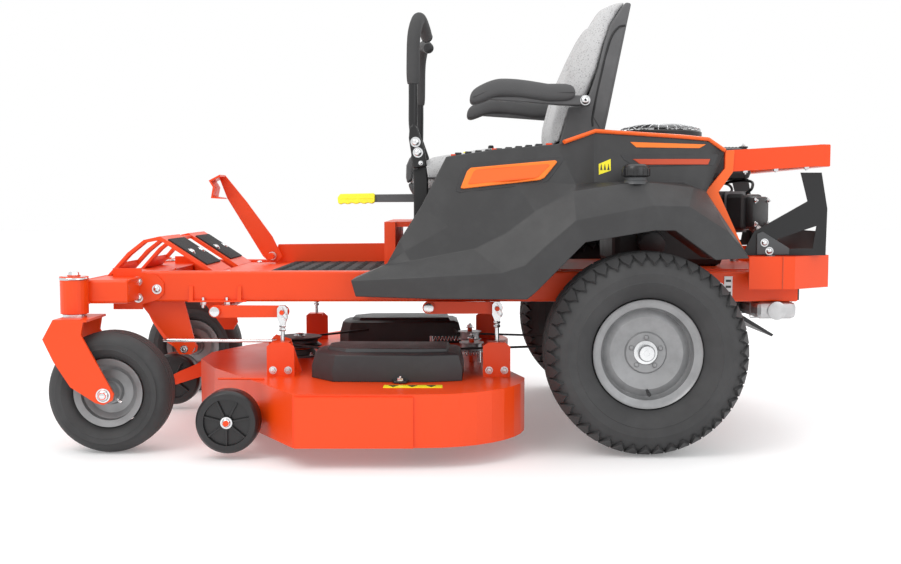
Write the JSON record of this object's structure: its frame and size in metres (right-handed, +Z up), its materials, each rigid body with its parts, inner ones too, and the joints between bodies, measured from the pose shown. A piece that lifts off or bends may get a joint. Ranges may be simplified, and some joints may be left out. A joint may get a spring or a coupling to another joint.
{
  "type": "zero turn mower",
  "caption": "Ride-on zero turn lawn mower with steering levers, high back seat, rear engine and a lifting side discharge deck on caster and drive wheels.",
  "frame": {"origin": "on the ground, at the middle of the whole machine's footprint, chute included", "axes": "+Z up; -Y is the driving direction; +X is the machine's left side"},
  "size_m": [1.632, 2.04, 1.18],
  "materials": {
    "orange": "gloss powder coat",
    "black_paint": "semi-gloss powder coat",
    "fender_plastic": "fine moulded grain, satin",
    "cover_plastic": "moulded, satin",
    "tyre_rubber": "moulded tyre rubber",
    "belt_rubber": "matt rubber",
    "rim_silver": "silver paint, satin",
    "zinc": "bright zinc plate",
    "bare_steel": "machined steel",
    "engine_black": "black engine paint",
    "seat_fabric": "light grey speckled cloth",
    "seat_shell": "dark grey moulded shell",
    "arm_pad": "soft integral foam skin",
    "yellow_grip": "yellow moulded grip"
  },
  "bodies": {
    "chassis": {"front_beam": "orange", "frame_rail_left": "orange", "frame_rail_right": "orange", "floor_pan": "orange", "footrest": "orange", "rear_frame": "orange", "engine_guard": "orange", "rear_guard": "black_paint", "rear_flap": "belt_rubber", "engine_block": "engine_black", "muffler": "rim_silver", "hydro_drive_left": "engine_black", "hydro_drive_right": "engine_black", "fender_left": "fender_plastic", "fender_right": "fender_plastic"},
    "caster_fork_left": {"caster_fork_left": "orange"},
    "caster_wheel_left": {"caster_rim_left": "rim_silver", "caster_tyre_left": "tyre_rubber"},
    "rear_wheel_left": {"rear_rim_left": "rim_silver", "rear_tyre_left": "tyre_rubber"},
    "lever_left": {"lever_base_left": "black_paint"},
    "lap_bar_left": {"lap_bar_left": "black_paint"},
    "caster_fork_right": {"caster_fork_right": "orange"},
    "caster_wheel_right": {"caster_rim_right": "rim_silver", "caster_tyre_right": "tyre_rubber"},
    "rear_wheel_right": {"rear_rim_right": "rim_silver", "rear_tyre_right": "tyre_rubber"},
    "lever_right": {"lever_base_right": "black_paint"},
    "lap_bar_right": {"lap_bar_right": "black_paint"},
    "intake_screen": {"intake_screen": "bare_steel"},
    "fuel_cap": {"fuel_cap": "cover_plastic"},
    "brake_lever": {"brake_lever": "yellow_grip"},
    "throttle_lever": {"throttle_lever": "cover_plastic"},
    "blade_switch": {"blade_switch": "yellow_grip"},
    "deck": {"deck_shell": "orange", "belt_cover_left": "cover_plastic", "belt_cover_right": "cover_plastic", "drive_belt": "belt_rubber"},
    "lift_front": {"lift_shaft_front": "orange"},
    "clevis_front_left": {"clevis_front_left": "zinc"},
    "clevis_front_right": {"clevis_front_right": "zinc"},
    "lift_rear": {"lift_shaft_rear": "orange"},
    "clevis_rear_left": {"clevis_rear_left": "zinc"},
    "clevis_rear_right": {"clevis_rear_right": "zinc"},
    "stabiliser_rod": {"stabiliser_rod": "zinc"},
    "deck_pedal": {"deck_pedal": "orange"},
    "blade_left": {"blade_left": "bare_steel"},
    "blade_centre": {"blade_centre": "bare_steel"},
    "blade_right": {"blade_right": "bare_steel"},
    "idler_left": {"idler_left": "bare_steel"},
    "idler_right": {"idler_right": "bare_steel"},
    "scalp_wheel_left": {"scalp_wheel_left": "cover_plastic"},
    "scalp_wheel_right": {"scalp_wheel_right": "cover_plastic"},
    "scalp_wheel_front": {"scalp_wheel_front": "cover_plastic"},
    "discharge_chute": {"discharge_chute": "cover_plastic"},
    "seat": {"seat_plate": "black_paint", "seat_cushion": "seat_fabric", "seat_back": "seat_shell"},
    "armrest_left": {"armrest_left": "arm_pad"},
    "armrest_right": {"armrest_right": "arm_pad"}
  },
  "joints": [
    {"name": "caster_swivel_left", "type": "hinge", "parent": "chassis", "child": "caster_fork_left", "pos_m": [0.595, -0.958, 0.395], "axis": [0, 0, 1], "continuous": true},
    {"name": "caster_spin_left", "type": "hinge", "parent": "caster_fork_left", "child": "caster_wheel_left", "pos_m": [0.595, -0.865, 0.155], "axis": [1, 0, 0], "continuous": true},
    {"name": "rear_spin_left", "type": "hinge", "parent": "chassis", "child": "rear_wheel_left", "pos_m": [0.601, 0.497, 0.2575], "axis": [1, 0, 0], "continuous": true},
    {"name": "drive_lever_left", "type": "hinge", "parent": "chassis", "child": "lever_left", "pos_m": [0.427, -0.077, 0.6], "axis": [1, 0, 0], "range_deg": [-12, 18]},
    {"name": "lap_bar_swing_left", "type": "hinge", "parent": "lever_left", "child": "lap_bar_left", "pos_m": [0.445, -0.084, 0.7235], "axis": [0, 1, 0], "range_deg": [0, 50]},
    {"name": "caster_swivel_right", "type": "hinge", "parent": "chassis", "child": "caster_fork_right", "pos_m": [-0.341, -0.958, 0.395], "axis": [0, 0, 1], "continuous": true},
    {"name": "caster_spin_right", "type": "hinge", "parent": "caster_fork_right", "child": "caster_wheel_right", "pos_m": [-0.341, -0.865, 0.155], "axis": [1, 0, 0], "continuous": true},
    {"name": "rear_spin_right", "type": "hinge", "parent": "chassis", "child": "rear_wheel_right", "pos_m": [-0.347, 0.497, 0.2575], "axis": [1, 0, 0], "continuous": true},
    {"name": "drive_lever_right", "type": "hinge", "parent": "chassis", "child": "lever_right", "pos_m": [-0.173, -0.077, 0.6], "axis": [1, 0, 0], "range_deg": [-12, 18]},
    {"name": "lap_bar_swing_right", "type": "hinge", "parent": "lever_right", "child": "lap_bar_right", "pos_m": [-0.191, -0.084, 0.7235], "axis": [0, -1, 0], "range_deg": [0, 50]},
    {"name": "screen_spin", "type": "hinge", "parent": "chassis", "child": "intake_screen", "pos_m": [0.127, 0.62, 0.845], "axis": [0, 0, 1], "continuous": true},
    {"name": "fuel_cap_turn", "type": "hinge", "parent": "chassis", "child": "fuel_cap", "pos_m": [0.597, 0.473, 0.715], "axis": [0, 0, 1], "continuous": true},
    {"name": "brake_lever_pull", "type": "hinge", "parent": "chassis", "child": "brake_lever", "pos_m": [0.392, -0.063, 0.648], "axis": [1, 0, 0], "range_deg": [-50, 0]},
    {"name": "throttle_tilt", "type": "hinge", "parent": "chassis", "child": "throttle_lever", "pos_m": [-0.293, 0.137, 0.775], "axis": [1, 0, 0], "range_deg": [-25, 25]},
    {"name": "blade_switch_pull", "type": "slide", "parent": "chassis", "child": "blade_switch", "axis": [0, 0, 1], "range_m": [0, 0.012]},
    {"name": "deck_lift", "type": "slide", "parent": "chassis", "child": "deck", "axis": [0, 0, 1], "range_m": [0, 0.076]},
    {"name": "lift_front_turn", "type": "hinge", "parent": "chassis", "child": "lift_front", "pos_m": [0.127, -0.6215, 0.348], "axis": [1, 0, 0], "range_deg": [0, 25]},
    {"name": "clevis_front_left_turn", "type": "hinge", "parent": "lift_front", "child": "clevis_front_left", "pos_m": [0.504, -0.4405, 0.348], "axis": [1, 0, 0], "range_deg": [-25, 0]},
    {"name": "clevis_front_right_turn", "type": "hinge", "parent": "lift_front", "child": "clevis_front_right", "pos_m": [-0.25, -0.4405, 0.348], "axis": [1, 0, 0], "range_deg": [-25, 0]},
    {"name": "lift_rear_turn", "type": "hinge", "parent": "chassis", "child": "lift_rear", "pos_m": [0.127, -0.055, 0.358], "axis": [1, 0, 0], "range_deg": [0, 25]},
    {"name": "clevis_rear_left_turn", "type": "hinge", "parent": "lift_rear", "child": "clevis_rear_left", "pos_m": [0.504, 0.126, 0.358], "axis": [1, 0, 0], "range_deg": [-25, 0]},
    {"name": "clevis_rear_right_turn", "type": "hinge", "parent": "lift_rear", "child": "clevis_rear_right", "pos_m": [-0.25, 0.126, 0.358], "axis": [1, 0, 0], "range_deg": [-25, 0]},
    {"name": "stabiliser_turn", "type": "hinge", "parent": "chassis", "child": "stabiliser_rod", "pos_m": [0.4525, -0.765, 0.268], "axis": [1, 0, 0], "range_deg": [0, 15]},
    {"name": "deck_pedal_push", "type": "hinge", "parent": "chassis", "child": "deck_pedal", "pos_m": [-0.078, -0.557, 0.47], "axis": [1, 0, 0], "range_deg": [0, 20.1]},
    {"name": "blade_spin_left", "type": "hinge", "parent": "deck", "child": "blade_left", "pos_m": [0.552, -0.062, 0.226], "axis": [0, 0, 1], "continuous": true},
    {"name": "blade_spin_centre", "type": "hinge", "parent": "deck", "child": "blade_centre", "pos_m": [0.127, -0.447, 0.226], "axis": [0, 0, 1], "continuous": true},
    {"name": "blade_spin_right", "type": "hinge", "parent": "deck", "child": "blade_right", "pos_m": [-0.298, -0.062, 0.226], "axis": [0, 0, 1], "continuous": true},
    {"name": "idler_spin_left", "type": "hinge", "parent": "deck", "child": "idler_left", "pos_m": [0.265, 0.063, 0.226], "axis": [0, 0, 1], "continuous": true},
    {"name": "idler_spin_right", "type": "hinge", "parent": "deck", "child": "idler_right", "pos_m": [-0.011, 0.063, 0.226], "axis": [0, 0, 1], "continuous": true},
    {"name": "scalp_spin_left", "type": "hinge", "parent": "deck", "child": "scalp_wheel_left", "pos_m": [0.689, -0.549, 0.095], "axis": [1, 0, 0], "continuous": true},
    {"name": "scalp_spin_right", "type": "hinge", "parent": "deck", "child": "scalp_wheel_right", "pos_m": [-0.435, -0.549, 0.095], "axis": [1, 0, 0], "continuous": true},
    {"name": "scalp_spin_front", "type": "hinge", "parent": "deck", "child": "scalp_wheel_front", "pos_m": [0.007, -0.848, 0.095], "axis": [1, 0, 0], "continuous": true},
    {"name": "chute_lift", "type": "hinge", "parent": "deck", "child": "discharge_chute", "pos_m": [-0.558, -0.182, 0.1835], "axis": [0, 1, 0], "range_deg": [0, 85]},
    {"name": "seat_tilt", "type": "hinge", "parent": "chassis", "child": "seat", "pos_m": [0.127, -0.067, 0.6], "axis": [1, 0, 0], "range_deg": [0, 38]},
    {"name": "armrest_flip_left", "type": "hinge", "parent": "seat", "child": "armrest_left", "pos_m": [0.403, 0.364, 0.91], "axis": [1, 0, 0], "range_deg": [-95, 0]},
    {"name": "armrest_flip_right", "type": "hinge", "parent": "seat", "child": "armrest_right", "pos_m": [-0.149, 0.364, 0.91], "axis": [1, 0, 0], "range_deg": [-95, 0]}
  ],
  "couplings": [
    {"joint": "lift_front_turn", "follows": "deck_lift", "rad_per_m": 5.695},
    {"joint": "clevis_front_left_turn", "follows": "deck_lift", "rad_per_m": -5.695},
    {"joint": "clevis_front_right_turn", "follows": "deck_lift", "rad_per_m": -5.695},
    {"joint": "lift_rear_turn", "follows": "deck_lift", "rad_per_m": 5.695},
    {"joint": "clevis_rear_left_turn", "follows": "deck_lift", "rad_per_m": -5.695},
    {"joint": "clevis_rear_right_turn", "follows": "deck_lift", "rad_per_m": -5.695},
    {"joint": "stabiliser_turn", "follows": "deck_lift", "rad_per_m": 3.393},
    {"joint": "deck_pedal_push", "follows": "deck_lift", "rad_per_m": 4.593},
    {"joint": "blade_spin_centre", "follows": "blade_spin_left", "ratio": 1},
    {"joint": "blade_spin_right", "follows": "blade_spin_left", "ratio": 1},
    {"joint": "idler_spin_left", "follows": "blade_spin_left", "ratio": -1.74},
    {"joint": "idler_spin_right", "follows": "blade_spin_left", "ratio": -1.74}
  ]
}
